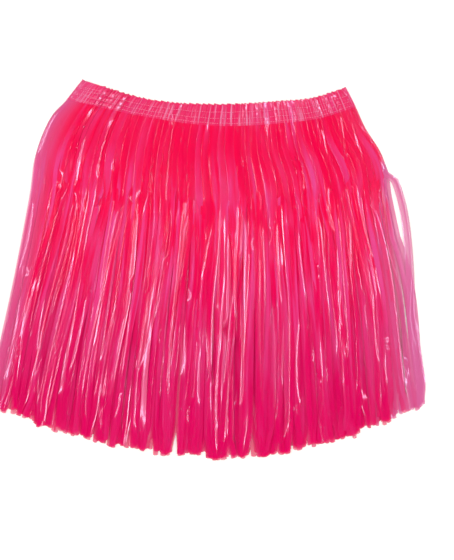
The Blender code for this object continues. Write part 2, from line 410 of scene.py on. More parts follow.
@dataclass(frozen=True)
class FilmFinish:
    """Thin glossy film: see-through in one layer, deep pink where many lie together."""

    name: str
    deep: Colour = (0.985, 0.001, 0.075, 1.0)
    low: Colour = (0.80, 0.001, 0.120, 1.0)
    # pale streaks: partly a paler tone where fewer layers lie together, partly painted sheen
    pale_and_sheen: Colour = (0.90, 0.075, 0.345, 1.0)
    pale_and_sheen_share: float = 0.75
    streaks: CutNoise = CutNoise(150.0, 7.0, 2.0, 3.0)
    streak_range: Pair = (0.48, 0.68)  # noise where a streak begins, and where it is at its palest
    starts: CutNoise = CutNoise(70.0, 5.0, 1.0, 23.0)
    ragged: float = 0.10  # how unevenly the streaks set in, in metres
    cool: Colour = (0.88, 0.105, 0.400, 1.0)
    coolness: float = 0.4
    cool_patches: CutNoise = CutNoise(34.0, 9.0, 2.0, 17.0)
    cool_range: Pair = (0.48, 0.70)
    side: Colour = (0.71, 0.150, 0.390, 1.0)
    sideness: float = 0.85
    left_share: float = 0.75
    left_width: float = 0.030  # film along the side folds, in metres
    right_width: float = 0.065
    right_drops: Pair = (0.100, 0.230)  # where the right side begins to have its colour and has it
    right_least: float = 0.12
    loose_edges: Pair = (0.0125, 0.0105)  # the loose film, before the cut edge at the right
    loose_drops: Pair = (0.078, 0.092)
    alpha: float = 0.64
    gloss_patches: CutNoise = CutNoise(60.0, 18.0, 2.0, 11.0)
    gloss_range: Pair = (0.3, 0.7)
    smoothest: float = 0.06
    roughest: float = 0.20
    crinkle: float = 0.00005
    crinkles: CutNoise = CutNoise(130.0, 4.0, 1.0, 7.0)
    ior: float = 1.5
    coat: float = 0.7
    coat_roughness: float = 0.07
    low_y: float = -0.015  # where the colour is half way to its lower one
    low_fade: float = 0.105

    def material(self) -> bpy.types.Material:
        """Builds the finish.

        Returns:
            A material of one shader, whose colour, roughness and bump come from nodes.
        """
        board = NodeBoard(self.name)
        height = board.on_object("SeparateXYZ").outputs["Y"]
        foot, top = self.low_y - self.low_fade, self.low_y + self.low_fade
        ground = board.mix(board.spread(height, foot, top, 1.0, 0.0), self.deep, self.low)
        along, drop = board.cut_split()
        uneven = board.reckon("SUBTRACT", board.cut_noise(self.starts), 0.5)
        start = board.reckon("ADD", drop, board.reckon("MULTIPLY", uneven, self.ragged))
        shown = board.ramp(start, STREAK_SHARES)
        colour = ground
        # the pale streaks, partly painted sheen, and the cool patches over the ground colour
        for noise, limits, most, tint in (
            (self.streaks, self.streak_range, self.pale_and_sheen_share, self.pale_and_sheen),
            (self.cool_patches, self.cool_range, self.coolness, self.cool),
        ):
            share = board.spread(board.cut_noise(noise), *limits, 0.0, most)
            colour = board.mix(board.reckon("MULTIPLY", share, shown), colour, tint)
        gloss = board.cut_noise(self.gloss_patches)
        board.dress({
            "Base Color": board.mix(self.side_share(board, along, drop), colour, self.side),
            "Roughness": board.spread(gloss, *self.gloss_range, self.smoothest, self.roughest),
            "Alpha": self.alpha,
            "IOR": self.ior,
            "Coat Weight": self.coat,
            "Coat Roughness": self.coat_roughness,
        })
        board.bump(board.cut_noise(self.crinkles), self.crinkle)
        return board.material

    def side_share(self, board: NodeBoard, along: Socket, drop: Socket) -> Socket:
        """How strongly the colour of the side folds and of the loose film shows.

        Args:
            board: the material's nodes.
            along: the place along the cut edge.
            drop: the drop below the waist.

        Returns:
            The share's socket.
        """
        within = board.reckon("MODULO", along, PLY_STEP * METRES)
        edge = CUT_WIDTH * METRES
        left = board.spread(within, 0.0, self.left_width, self.left_share * self.sideness, 0.0)
        right = board.spread(within, edge - self.right_width, edge, 0.0, self.sideness)
        lower = board.spread(drop, *self.right_drops, self.right_least, 1.0)
        near, far = self.loose_edges
        loose = board.spread(within, edge - near, edge - far, 0.0, self.sideness)
        slit = board.spread(drop, *self.loose_drops, 0.0, 1.0)
        right = board.reckon("MULTIPLY", right, lower)
        loose = board.reckon("MULTIPLY", loose, slit)
        return board.reckon("ADD", left, board.reckon("MAXIMUM", right, loose))


@dataclass(frozen=True)
class ThreadFinish:
    """Pale pink spun thread."""

    name: str = "thread"
    colour: Colour = (0.89, 0.34, 0.50, 1.0)
    shade: Colour = (0.84, 0.20, 0.38, 1.0)
    twists: float = 900.0  # for each metre
    uneven: float = 1.5
    depth: float = 0.00005  # of the twist's grooves, in metres
    roughness: float = 0.6

    def material(self) -> bpy.types.Material:
        """Builds the finish.

        Returns:
            A matt material whose colour follows the thread's twist.
        """
        board = NodeBoard(self.name)
        wave = board.on_object("TexWave", scale=self.twists, distortion=self.uneven)
        twist = wave.outputs["Fac"]
        # the twist's grooves take the darker shade colour: painted shade
        tone = board.mix(twist, self.shade, self.colour)
        board.dress({"Base Color": tone, "Roughness": self.roughness})
        board.bump(twist, self.depth)
        return board.material


def grid_faces(rows: int, columns: int, first: int = 0) -> Array:
    """The four-sided faces of a grid of points.

    Args:
        rows: rows of points.
        columns: points in each row.
        first: the number of the grid's first point.

    Returns:
        One row of four point numbers for each face.
    """
    corner = np.arange(rows - 1)[:, None] * columns + np.arange(columns - 1)[None, :]
    corner = corner.ravel() + first
    return np.stack([corner, corner + columns, corner + columns + 1, corner + 1], axis=1)


def add_piece(
    name: str, points: Array, faces: Array, cut: Array, finish: bpy.types.Material
) -> bpy.types.Object:
    """Makes a smooth mesh that rides on the skirt's body.

    Args:
        name: the piece's name.
        points: its points, in metres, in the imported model's frame.
        faces: four point numbers for each face.
        cut: where each point lies on the cut film, in metres.
        finish: its material.

    Returns:
        The new object.
    """
    mesh = bpy.data.meshes.new(name)
    mesh.vertices.add(len(points))
    mesh.vertices.foreach_set("co", points.astype(np.float32).ravel())
    mesh.loops.add(faces.size)
    mesh.loops.foreach_set("vertex_index", faces.astype(np.int32).ravel())
    mesh.polygons.add(len(faces))
    mesh.polygons.foreach_set("loop_start", np.arange(0, faces.size, 4, dtype=np.int32))
    layer = mesh.uv_layers.new(name=CUT_MAP)
    layer.data.foreach_set("uv", cut[faces.ravel()].astype(np.float32).ravel())
    mesh.update(calc_edges=True)
    mesh.validate()
    mesh.shade_smooth()
    mesh.materials.append(finish)
    piece = bpy.data.objects.new(name, mesh)
    bpy.context.scene.collection.objects.link(piece)
    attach(piece, BODY)
    return piece


def weld(piece: bpy.types.Object) -> None:
    """Fuses the points that lie together.

    Args:
        piece: the piece whose mesh is fused.
    """
    bm = bmesh.new()
    bm.from_mesh(piece.data)
    bmesh.ops.remove_doubles(bm, verts=bm.verts, dist=FUSED)
    bm.to_mesh(piece.data)
    bm.free()


@dataclass
class Gathers:
    """How one ply's film is gathered: narrow pleats, each folded over on itself."""

    seed: int
    count: int = 48
    plain_share: float = 0.075  # share of the width, at the left fold, that isn't gathered
    plain_film: float = 30.0
    group: int = 7  # pleats that lean the same way
    drift: float = 0.0035  # how far a pleat's edge wanders, and over what drop
    drift_run: float = 24.0
    width_range: Pair = (0.55, 1.5)
    film_range: Pair = (0.85, 1.15)
    depth_range: Pair = (0.5, 1.0)
    edges: Array = field(init=False)
    film: Array = field(init=False)
    depth: Array = field(init=False)
    lean: Array = field(init=False)
    phase: Array = field(init=False)

    def __post_init__(self) -> None:
        """Draws the gathers' uneven widths, depths and leans."""
        pick = np.random.default_rng(self.seed)
        widths = pick.uniform(*self.width_range, self.count)
        film = widths * pick.uniform(*self.film_range, self.count)
        steps = widths / widths.sum() * (1 - self.plain_share)
        lengths = film / film.sum() * (CUT_WIDTH - self.plain_film)
        self.edges = np.concatenate([[0.0, self.plain_share], self.plain_share + np.cumsum(steps)])
        self.film = np.concatenate([[0.0, self.plain_film], self.plain_film + np.cumsum(lengths)])
        self.depth = np.append(0.0, pick.uniform(*self.depth_range, self.count))
        groups = self.count // self.group + 2
        signs = pick.choice([Lean.RIGHT.value, Lean.LEFT.value], groups)
        self.lean = np.repeat(signs, self.group)[: self.count + 1]
        self.phase = pick.uniform(0, 2 * math.pi, self.count + 2)

    def fold(self, along: Array, drop: Array, over: Array) -> tuple[Array, Array]:
        """Where the gathered film lies.

        Args:
            along: distance along the cut edge.
            drop: drop below the waist, the same shape.
            over: how far the pleats fold over: none at 1 or less.

        Returns:
            The share of the way across the skirt, and the rise of the pleat from -1 to 1.
        """
        index = np.clip(np.searchsorted(self.film, along, side="right") - 1, 0, self.count)
        t = (along - self.film[index]) / (self.film[index + 1] - self.film[index])
        depth = self.depth[index]
        wave = np.sin(2 * math.pi * t)
        near = self.edge_at(index, drop)
        far = self.edge_at(index + 1, drop)
        across = near + (far - near) * (t + over * depth * wave / (2 * math.pi))
        return across, wave * depth * self.lean[index]

    def edge_at(self, index: Array, drop: Array) -> Array:
        """Where the edge between two gathers lies, wandering a little on the way down.

        Args:
            index: the edge's number from the left.
            drop: drop below the waist, the same shape.

        Returns:
            The share of the way across the skirt.
        """
        inside = (index > 0) & (index <= self.count)
        wave = np.sin(drop / self.drift_run + self.phase[index])
        wander = self.drift * wave * yoke_share(drop)
        return self.edges[index] + np.where(inside, wander, 0.0)


@dataclass(frozen=True)
class Crease:
    """A main crease of the front, placed from the photograph."""

    start: Pair
    end: Pair
    width: float
    height: float
    rise: float = 0.25  # shares of its length over which it rises and dies away
    fall: float = 0.3

    def lift(self, x: Array, y: Array) -> Array:
        """How far the crease lifts the film.

        Args:
            x: places across the drawing.
            y: their places up it.

        Returns:
            A height for each place.
        """
        (x0, y0), (x1, y1) = photo_point(self.start), photo_point(self.end)
        run_x, run_y = x1 - x0, y1 - y0
        length = math.hypot(run_x, run_y)
        along = ((x - x0) * run_x + (y - y0) * run_y) / length
        aside = ((x - x0) * run_y - (y - y0) * run_x) / length
        inside = ease(along / (self.rise * length)) * ease((length - along) / (self.fall * length))
        return self.height * inside * bell(aside, 0.0, self.width)


# Main creases of the yoke: start and end in pixels of the photograph, width and height.
MAIN_CREASES = tuple(
    Crease((x0, y0), (x1, y1), width, height)
    for x0, y0, x1, y1, width, height in (
        (92, 105, 67, 146, 3.6, -1.0), (84, 103, 60, 134, 6.0, 0.4),
        (109, 112, 99, 172, 3.0, -0.8), (116, 112, 110, 168, 2.2, 0.6),
        (133, 108, 128, 160, 2.5, -0.9), (158, 112, 152, 165, 1.8, -0.9),
        (171, 104, 171, 140, 1.0, 1.1), (186, 112, 181, 168, 3.0, -1.1),
        (206, 118, 203, 166, 3.0, 1.0), (222, 110, 224, 165, 2.6, -1.0),
        (247, 110, 249, 170, 3.2, 0.9), (268, 112, 272, 168, 2.4, -1.0),
        (290, 108, 297, 160, 2.6, 1.0), (318, 118, 319, 150, 1.2, 1.3),
        (323, 120, 331, 168, 3.0, -1.3), (338, 110, 345, 166, 1.4, 1.2),
        (350, 112, 366, 168, 2.4, -1.0), (361, 112, 372, 148, 1.2, 1.2),
        (368, 130, 388, 172, 2.0, 1.2), (338.5, 88, 354, 126, 1.0, 1.2),
        (343, 94, 361, 130, 0.9, 1.1), (116.5, 90, 110, 112, 1.0, 1.0),
        (96, 156, 92.5, 170, 1.0, 1.4), (103, 159, 99.5, 173, 1.0, 1.4),
        (115.5, 157, 113, 173, 1.0, 1.2), (145.3, 164, 145.5, 202, 1.0, 1.1),
        (150, 162, 150.4, 198, 1.0, 1.1), (185.5, 168, 185.5, 186, 1.0, 1.2),
        (210.4, 148, 211.2, 180, 0.9, 1.1), (231.5, 182, 227, 198, 1.0, 1.5),
        (244.4, 150, 243, 168, 1.0, 1.2), (265.8, 178, 267.6, 212, 1.0, 1.3),
        (294, 154, 297.6, 182, 1.0, 1.2), (299.4, 156, 303.2, 206, 1.0, 1.4),
        (312, 170, 309.2, 185, 1.0, 1.4),
    )
)


@dataclass(frozen=True)
class PlyProfile:
    """How a ply's film lies on its way down: rows of drop, lift, half height and fold-over."""

    drops: tuple[float, ...]
    lifts: tuple[float, ...]
    heights: tuple[float, ...]
    overs: tuple[float, ...]


SHOWN_PROFILE = PlyProfile(
    drops=(0.0, 4.2, 8.0, 11.0, 14.0, 16.3, 18.6, 21.0, 28.0, 40.0, 58.0, 75.0, 110.0),
    lifts=(0.2, 0.35, 0.2, 0.4, 0.2, 0.35, 0.2, 0.3, 0.6, 0.8, 0.9, 1.0, 1.0),
    heights=(1.3, 1.4, 1.1, 1.3, 1.1, 1.25, 1.1, 1.15, 0.8, 0.45, 0.35, 0.5, 0.6),
    overs=(3.0, 3.0, 3.2, 3.0, 3.2, 3.0, 3.2, 3.2, 3.2, 3.2, 3.1, 2.6, 1.4),
)
HIDDEN_PROFILE = PlyProfile(
    drops=(0.0, 8.0, 21.0, 75.0, 110.0),
    lifts=(0.4, 0.3, 0.6, 0.7, 0.8),
    heights=(0.35, 0.25, 0.4, 0.45, 0.45),
    overs=(3.3, 3.3, 3.3, 3.0, 1.4),
)
LAID_PROFILE = PlyProfile(
    drops=(0.0, 8.0, 14.0, 21.0, 75.0, 110.0),
    lifts=(1.0, 0.95, 0.95, 0.9, 0.5, 0.6),
    heights=(0.45, 0.3, 0.4, 0.35, 0.35, 0.4),
    overs=(3.4, 3.4, 3.4, 3.4, 3.0, 1.4),
)


@dataclass
class FilmPly:
    """One ply of film, from the band down to its strips' tips."""

    name: str
    level: int  # 0 for the ply on the table, 3 for the one that shows
    foot_z: float
    slit_z: float
    crown_share: float
    profile: PlyProfile
    drawing: Drawing
    creases: tuple[Crease, ...] = ()
    inset: float = 0.0
    side_z: float = 3.4
    side_width: float = 0.022
    strips: int = 129
    strip_columns: int = 5
    strip_range: Pair = (0.8, 1.2)
    ridge: float = 0.5  # how far the film is creased along the slits, above their tops
    ridge_top: float = 38.0
    ridge_run: float = 30.0
    smooth_slits: int = 8  # the plain film at the left hip is smooth
    smooth_share: float = 0.3
    gathers: Gathers = field(init=False)
    strip_edges: Array = field(init=False)
    ridges: Array = field(init=False)

    def __post_init__(self) -> None:
        """Draws the ply's gathers and where its slits are cut."""
        self.gathers = Gathers(seed=40 + self.level)
        pick = np.random.default_rng(60 + self.level)
        widths = pick.uniform(*self.strip_range, self.strips)
        self.strip_edges = np.append(0.0, np.cumsum(widths) / widths.sum() * CUT_WIDTH)
        self.ridges = pick.normal(0.0, self.ridge, self.strips + 1)
        self.ridges[: self.smooth_slits] *= self.smooth_share

    def columns(self) -> Array:
        """Places along the cut edge.

        Returns:
            Their distances, with the same few in each strip.
        """
        steps = np.arange(self.strip_columns) / self.strip_columns
        near, far = self.strip_edges[:-1], self.strip_edges[1:]
        inner = (near[:, None] + (far - near)[:, None] * steps[None, :]).ravel()
        return np.append(inner, CUT_WIDTH)

    def sheet(self, along: Array, drop: Array) -> Array:
        """Where the uncut film lies.

        Args:
            along: distance along the cut edge.
            drop: drop below the waist, the same shape.

        Returns:
            Points of the drawing, with their heights above the table.
        """
        held = np.minimum(drop, self.profile.drops[-1])
        over = curve(self.profile.drops, self.profile.overs, held)
        half = curve(self.profile.drops, self.profile.heights, held)
        lift = curve(self.profile.drops, self.profile.lifts, held)
        across, rise = self.gathers.fold(along, drop, over)
        across = self.inset + (1 - 2 * self.inset) * across
        x, y = self.drawing.place(across, drop)
        z = self.foot_z + (self.slit_z - self.foot_z) * yoke_share(drop) + lift + half * rise
        z = z + self.crown_share * crown(across, drop)
        ridged = ease((drop - self.ridge_top) / self.ridge_run)
        z = z + np.interp(along, self.strip_edges, self.ridges) * ridged
        for crease in self.creases:
            z = z + crease.lift(x, y)
        inward = np.clip(np.minimum(across, 1 - across) / self.side_width, 0.0, 1.0)
        z = self.side_z + (z - self.side_z) * np.sqrt(1 - (1 - inward) ** 2)
        return np.stack([x, y, np.maximum(z, TABLE_GAP)], axis=-1)

    def cut_place(self, along: Array, drop: Array) -> Array:
        """Where points lie on the cut film, in metres, with each ply's film apart."""
        return np.stack([along + self.level * PLY_STEP, drop], axis=-1) * METRES


@dataclass
class Yoke:
    """The whole film between the band and the slits of one ply."""

    ply: FilmPly
    rows: int = 30

    def build(self, finish: bpy.types.Material) -> bpy.types.Object:
        """Makes the yoke's film, with its cut map.

        Args:
            finish: the film's material.

        Returns:
            The yoke's piece.
        """
        drops = np.linspace(BAND_DEPTH, STRIP_DROP, self.rows)
        along, drop = np.meshgrid(self.ply.columns(), drops)
        points = self.ply.drawing.to_frame(self.ply.sheet(along, drop)).reshape(-1, 3)
        cut = self.ply.cut_place(along, drop).reshape(-1, 2)
        name = "yoke_film_" + self.ply.name
        piece = add_piece(name, points, grid_faces(*along.shape), cut, finish)
        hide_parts("yoke_" + self.ply.name)
        return piece


@dataclass
class Bundles:
    """Where the tips cling together along the hem, in every ply alike."""

    seed: int = 5
    count: int = 25
    plies: int = 4
    width_range: Pair = (0.5, 1.5)
    hem_width: float = 449.0
    cling: float = 0.44  # how far a bundle's tips draw in to its middle
    reach: float = 26.0  # length of film that clings, above the tips
    uneven: float = 1.3
    apart: float = 1.5  # how far a bundle's plies differ in length
    rounding: float = 2.2
    edges: Array = field(init=False)
    drops: Array = field(init=False)

    def __post_init__(self) -> None:
        """Draws the bundles' uneven widths and lengths."""
        pick = np.random.default_rng(self.seed)
        widths = pick.uniform(*self.width_range, self.count)
        self.edges = np.append(0.0, np.cumsum(widths) / widths.sum())
        shared = pick.normal(0.0, self.uneven, (self.count, 1))
        self.drops = shared + pick.normal(0.0, self.apart, (self.count, self.plies))

    def draw_in(self, across: float, level: int) -> Pair:
        """How a bundle moves a tip.

        Args:
            across: the share of the way across the skirt where the tip would lie.
            level: the ply's level.

        Returns:
            How far it moves to the right, and how much lower it hangs.
        """
        index = int(np.clip(np.searchsorted(self.edges, across) - 1, 0, self.count - 1))
        near, far = self.edges[index], self.edges[index + 1]
        aside = (across - (near + far) / 2) / (far - near)
        pull = -aside * (far - near) * self.hem_width * self.cling
        return pull, float(self.drops[index, level]) + self.rounding * (0.5 - 4 * aside * aside)


@dataclass(frozen=True)
class Kink:
    """A short turn that a share of the strips has."""

    share: float
    drops: Pair  # between which it lies
    turn: float  # radians, typical
    length: float


KINKS = (Kink(0.2, (90.0, 330.0), 0.6, 6.0), Kink(0.2, (84.0, 125.0), 0.9, 3.5))


@dataclass
class Fringe:
    """One ply's strips, each with its own path, roll and curl."""

    ply: FilmPly
    tips: Bundles
    wander: float  # how far a strip strays by itself, and with its neighbours
    bundle: float
    stations: int = 64
    lane_floor: float = 0.4
    lane_pitch: float = 1.42
    half_ply: float = 0.5
    latest_start: float = 20.0  # the most film that neighbours share below their own top
    settle_least: float = 18.0  # film over which a strip comes to lie by itself
    settle_most: float = 72.0
    fan: float = 230.0  # drop over which the strips spread evenly
    bundle_strips: int = 4  # neighbours that stray together
    edge_strips: float = 8.0  # strips at either side that stray less
    edge_least: float = 0.12
    ripple: float = 0.35
    ripple_runs: Pair = (9.0, 22.0)
    ragged: float = 1.3
    tip_rise: float = 1.5  # how far above the skirt's lower edge the tips end
    tip_range: Pair = (-4.2, 3.4)  # how far from there one may end
    tip_slant: float = 0.7
    tip_round: float = 0.9
    grow_drops: Pair = (52.0, 118.0)  # where strips begin to roll and curl
    grow_runs: Pair = (12.0, 45.0)
    calm_drops: Pair = (250.0, 325.0)  # where they begin to flatten towards the tips
    calm_run: float = 45.0
    calm: float = 0.8
    roll: float = 0.34  # radians, typical
    curl_least: float = 0.16
    curl_most: float = 0.45
    curl_drift: float = 0.05
    root_curl: float = 0.15  # share of the curl at the roots
    flat_share: float = 0.22  # share of the strips that hardly curl
    flat_curl: float = 0.3
    crease: float = 0.25  # the most that a strip is creased down its middle
    nipped_share: float = 0.4  # share of the strips with one short sharp twist
    nip_length: float = 3.4
    nip_drops: Pair = (82.0, 325.0)
    nip_turns: Pair = (0.6, 1.1)
    bowed: int = 0
    bow: float = 12.6
    bow_step: float = 0.8  # how much less each further strip bows
    bow_top: float = 96.0
    bow_foot: float = 256.0
    bow_lean: float = 0.56
    followers: int = 0  # strips beside the bowed ones, which bow lower down and less
    follow: float = 4.0
    follow_top: float = 172.0
    follow_foot: float = 300.0
    follow_lean: float = 0.8
    narrowing: float = 0.0  # how far a hidden ply stops short at the right
    narrow_across: Pair = (0.7, 0.3)  # where across and down that begins, and over how much
    narrow_down: Pair = (90.0, 100.0)

    def build(self, finish: bpy.types.Material) -> bpy.types.Object:
        """Makes the strips as one mesh, fused where the film isn't slit, with their cut map.

        Args:
            finish: the film's material.

        Returns:
            The fringe's piece.
        """
        pick = np.random.default_rng(90 + self.ply.level)
        bundles = self.bundles(pick)
        starts = STRIP_DROP + pick.uniform(0.5, self.latest_start, self.ply.strips + 1)
        points, cuts, faces = [], [], []
        columns = self.ply.strip_columns + 1
        for index in range(self.ply.strips):
            begin = max(starts[index], starts[index + 1])
            strip, cut = self.strip(index, begin, bundles, pick)
            faces.append(grid_faces(self.stations, columns, len(points) * self.stations * columns))
            points.append(strip.reshape(-1, 3))
            cuts.append(cut.reshape(-1, 2))
        placed = self.ply.drawing.to_frame(np.concatenate(points))
        faces, cuts = np.concatenate(faces), np.concatenate(cuts)
        piece = add_piece("strips_" + self.ply.name, placed, faces, cuts, finish)
        weld(piece)
        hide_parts("fringe_" + self.ply.name)
        return piece

    def bundles(self, pick: np.random.Generator) -> Array:
        """Sideways pulls, at a few drops, that neighbouring strips share.

        Args:
            pick: the fringe's random draws.

        Returns:
            For each strip, a pull at each of five places down its length.
        """
        wide = pick.normal(0.0, 1.0, (self.ply.strips // self.bundle_strips + 3, 5))
        wide[:, 1] = (wide[:, 0] + wide[:, 2]) / 2
        wide[:, 3] = (wide[:, 2] + wide[:, 4]) / 2
        at = np.arange(self.ply.strips) / self.bundle_strips
        low = at.astype(int)
        share = (at - low)[:, None]
        return wide[low] * (1 - share) + wide[low + 1] * share

    def strip(
        self, index: int, begin: float, bundles: Array, pick: np.random.Generator
    ) -> tuple[Array, Array]:
        """One strip's points.

        Args:
            index: the strip's number from the left.
            begin: the drop where it leaves the uncut film.
            bundles: the pulls from the method above.
            pick: the fringe's random draws.

        Returns:
            Its points, a row for each station, and their places on the cut film.
        """
        ply = self.ply
        near, far = ply.strip_edges[index], ply.strip_edges[index + 1]
        middle, half = (near + far) / 2, (far - near) / 2
        side = np.linspace(-1.0, 1.0, ply.strip_columns + 1)
        pull, longer = self.tips.draw_in(middle / CUT_WIDTH, ply.level)
        uneven = np.clip(pick.normal(0.0, self.ragged) + longer, *self.tip_range)
        tip = SKIRT_DROP - self.tip_rise + float(uneven)
        slant = pick.uniform(-self.tip_slant, self.tip_slant)
        t = np.linspace(0.0, 1.0, self.stations)
        line = STRIP_DROP + (tip - STRIP_DROP) * t
        shape = slant * side - self.tip_round * side**2
        drop = STRIP_DROP + (tip + shape[None, :] - STRIP_DROP) * t[:, None]
        along = np.broadcast_to(middle + half * side[None, :], drop.shape)
        settle = self.settle_least
        if index < ply.strips - self.bowed:
            settle += (self.settle_most - self.settle_least) * (index * GOLDEN_SHARE % 1.0)
        free = ease((line - begin) / settle)

        root = ply.sheet(np.full_like(line, middle), line)
        gathered, _ = ply.gathers.fold(np.full_like(line, middle), line, np.zeros_like(line))
        spread = ease((line - STRIP_DROP) / self.fan)
        across = gathered + (middle / CUT_WIDTH - gathered) * spread
        (start, run), (top, depth) = self.narrow_across, self.narrow_down
        narrowed = self.narrowing * ease((across - start) / run)
        across = across - narrowed * ease((line - top) / depth)
        x, y = ply.drawing.place(ply.inset + (1 - 2 * ply.inset) * across, line)
        x = x + self.sideways(index, line, bundles, pick)
        x = x + pull * ease((line - tip) / self.tips.reach + 1)
        lane = 2 * ply.level + index % 2
        z = self.lane_floor + self.lane_pitch * lane + self.half_ply
        z = z + crown(across, line) * lane / TOP_LANE
        ripples = np.sin(line / pick.uniform(*self.ripple_runs) + pick.uniform(0, TURN))
        centre = np.stack([x, y, z + self.ripple * ripples], axis=-1)
        centre = root + (centre - root) * free[:, None]

        run = np.gradient(centre[:, :2], axis=0)
        run /= np.linalg.norm(run, axis=1, keepdims=True)
        aside = np.stack([-run[:, 1], run[:, 0], np.zeros(len(run))], axis=-1)
        uncut = ply.sheet(along, drop)
        aside *= np.sign(aside[:, :1]) * (1.0 if uncut[0, -1, 0] > uncut[0, 0, 0] else -1.0)
        grown = ease((line - pick.uniform(*self.grow_drops)) / pick.uniform(*self.grow_runs))
        calmed = ease((line - pick.uniform(*self.calm_drops)) / self.calm_run)
        grown = grown * (1 - self.calm * calmed)
        roll = self.rolls(index, line, grown, pick)
        curl = pick.uniform(self.curl_least, self.curl_most) * pick.choice([-1.0, 1.0])
        flat = self.flat_curl if pick.random() < self.flat_share else 1.0
        flat = flat * (self.root_curl + (1 - self.root_curl) * grown)
        drift = curve(np.linspace(0, 1, 4), pick.normal(0.0, self.curl_drift, 4), t)
        curl = (flat * (curl + drift))[:, None]
        out = half * np.sin(curl * side[None, :]) / curl
        up = half * (np.cos(curl * side[None, :]) - 1) / curl
        crease = pick.uniform(0.0, self.crease) * half * np.abs(side)[None, :] * free[:, None]
        up = up - up.mean(axis=1, keepdims=True) + crease
        level = out * np.cos(roll)[:, None] - up * np.sin(roll)[:, None]
        height = out * np.sin(roll)[:, None] + up * np.cos(roll)[:, None]
        loose = centre[:, None, :] + level[:, :, None] * aside[:, None, :]
        loose[:, :, 2] += height
        loose[:, :, 1] -= (drop - line[:, None])
        points = uncut + (loose - uncut) * free[:, None, None]
        points[:, :, 2] = np.maximum(points[:, :, 2], TABLE_GAP)
        return points, ply.cut_place(along, drop)

    def sideways(
        self, index: int, line: Array, bundles: Array, pick: np.random.Generator
    ) -> Array:
        """How far a strip's middle lies beside its own line.

        Args:
            index: the strip's number from the left.
            line: its drops.
            bundles: the pulls that neighbours share.
            pick: the fringe's random draws.

        Returns:
            A distance for each drop, to the right where it is above 0.
        """
        knots = np.linspace(STRIP_DROP, SKIRT_DROP + 4, 5)
        grow = np.array([0.0, 0.4, 0.8, 1.0, 1.0])
        tip, bend = pick.normal(0.0, 1.2), pick.normal(0.0, 0.4)
        lean, belly = np.linspace(0.0, 1.0, 5), np.array([0.0, 0.7, 1.0, 0.7, 0.0])
        own = (lean * tip + belly * bend) * self.wander
        shared = bundles[index] * grow * self.bundle
        inward = min(index, self.ply.strips - 1 - index)
        edge = ease(inward / self.edge_strips + self.edge_least)
        pull = curve(knots, (own + shared) * float(edge), line)
        rank = self.ply.strips - 1 - index - self.bowed
        if rank < 0:
            down = np.clip((line - self.bow_top) / (self.bow_foot - self.bow_top), 0.0, 1.0)
            bow = self.bow - self.bow_step * (rank + self.bowed)
            pull = pull + bow * np.sin(math.pi * down**self.bow_lean)
        elif rank < self.followers:
            share = 1 - rank / self.followers
            run = self.follow_foot - self.follow_top
            down = np.clip((line - self.follow_top) / run, 0.0, 1.0)
            pull = pull + self.follow * share * np.sin(math.pi * down**self.follow_lean)
        return pull

    def rolls(
        self, index: int, line: Array, grown: Array, pick: np.random.Generator
    ) -> Array:
        """How a strip is turned about its length, with a kink here and there.

        Args:
            index: the strip's number from the left.
            line: its drops.
            grown: how far the strip has taken its own form at each drop.
            pick: the fringe's random draws.

        Returns:
            An angle for each drop, in radians.
        """
        knots = np.linspace(STRIP_DROP, SKIRT_DROP + 8, 4)
        whole = pick.normal(0.0, 0.8 * self.roll)
        roll = (whole + curve(knots, pick.normal(0.0, 0.6 * self.roll, 4), line)) * grown
        for kink in KINKS:
            if pick.random() < kink.share:
                place = pick.uniform(*kink.drops)
                roll = roll + pick.normal(0.0, kink.turn) * bell(line, place, kink.length)
        nip = np.random.default_rng(1000 * self.ply.level + index)
        if nip.random() < self.nipped_share:
            place = nip.uniform(*self.nip_drops)
            turn = nip.choice([-1.0, 1.0]) * nip.uniform(*self.nip_turns)
            roll = roll + turn * bell(line, place, self.nip_length)
        return roll


@dataclass
class Waistband:
    """One side of the gathered waistband: film folded over the elastic at the waist edge."""

    name: str
    outer: FilmPly
    inner: FilmPly
    outer_rows: int = 34
    inner_rows: int = 8
    fold_rows: int = 5
    scallop: float = 0.9
    set_back: float = 1.0  # how far the fold's crests are kept below the waist line
    set_back_run: float = 4.0
    crest_range: Pair = (-0.6, 1.0)
    back_gap: float = 0.35  # how high the folded-over film lies on the inner ply
    back_pleats: float = 0.15  # share of the pleats' height that it keeps
    bulge: float = 0.55  # of the fold, up the drawing

    def build(self, finish: bpy.types.Material) -> bpy.types.Object:
        """Makes the band's film, with its cut map.

        Args:
            finish: the gathered film's material.

        Returns:
            The band's piece.
        """
        columns = self.outer.columns()
        along, drop = np.meshgrid(columns, np.linspace(BAND_DEPTH, 0.0, self.outer_rows))
        front = self.outer.sheet(along, drop)
        along, inner_drop = np.meshgrid(columns, np.linspace(0.0, BAND_DEPTH, self.inner_rows))
        back = self.outer.sheet(along, inner_drop)
        floor = self.inner.foot_z + self.back_gap
        back[:, :, 2] = floor + (back[:, :, 2] - self.outer.foot_z) * self.back_pleats
        heights = front[-1, :, 2]
        crest = np.clip(heights - heights.mean(), *self.crest_range)
        for film, below in ((front, drop), (back, inner_drop)):
            near_edge = ease(1 - below / self.set_back_run)
            film[:, :, 1] += (self.scallop * crest[None, :] - self.set_back) * near_edge
        fold = []
        for angle in np.linspace(0.0, math.pi, self.fold_rows + 2)[1:-1]:
            share = (1 - math.cos(angle)) / 2
            ring = front[-1] + (back[0] - front[-1]) * share
            ring[:, 1] += self.bulge * math.sin(angle)
            fold.append(ring)
        points = np.concatenate([front, np.array(fold), back])
        drops = np.concatenate([drop, np.zeros((self.fold_rows, len(columns))), -inner_drop])
        alongs = np.broadcast_to(columns, drops.shape)
        placed = self.outer.drawing.to_frame(points).reshape(-1, 3)
        cut = self.outer.cut_place(alongs, drops).reshape(-1, 2)
        piece = add_piece(
            "gathered_" + self.name, placed, grid_faces(*drops.shape), cut, finish
        )
        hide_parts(self.name)
        return piece


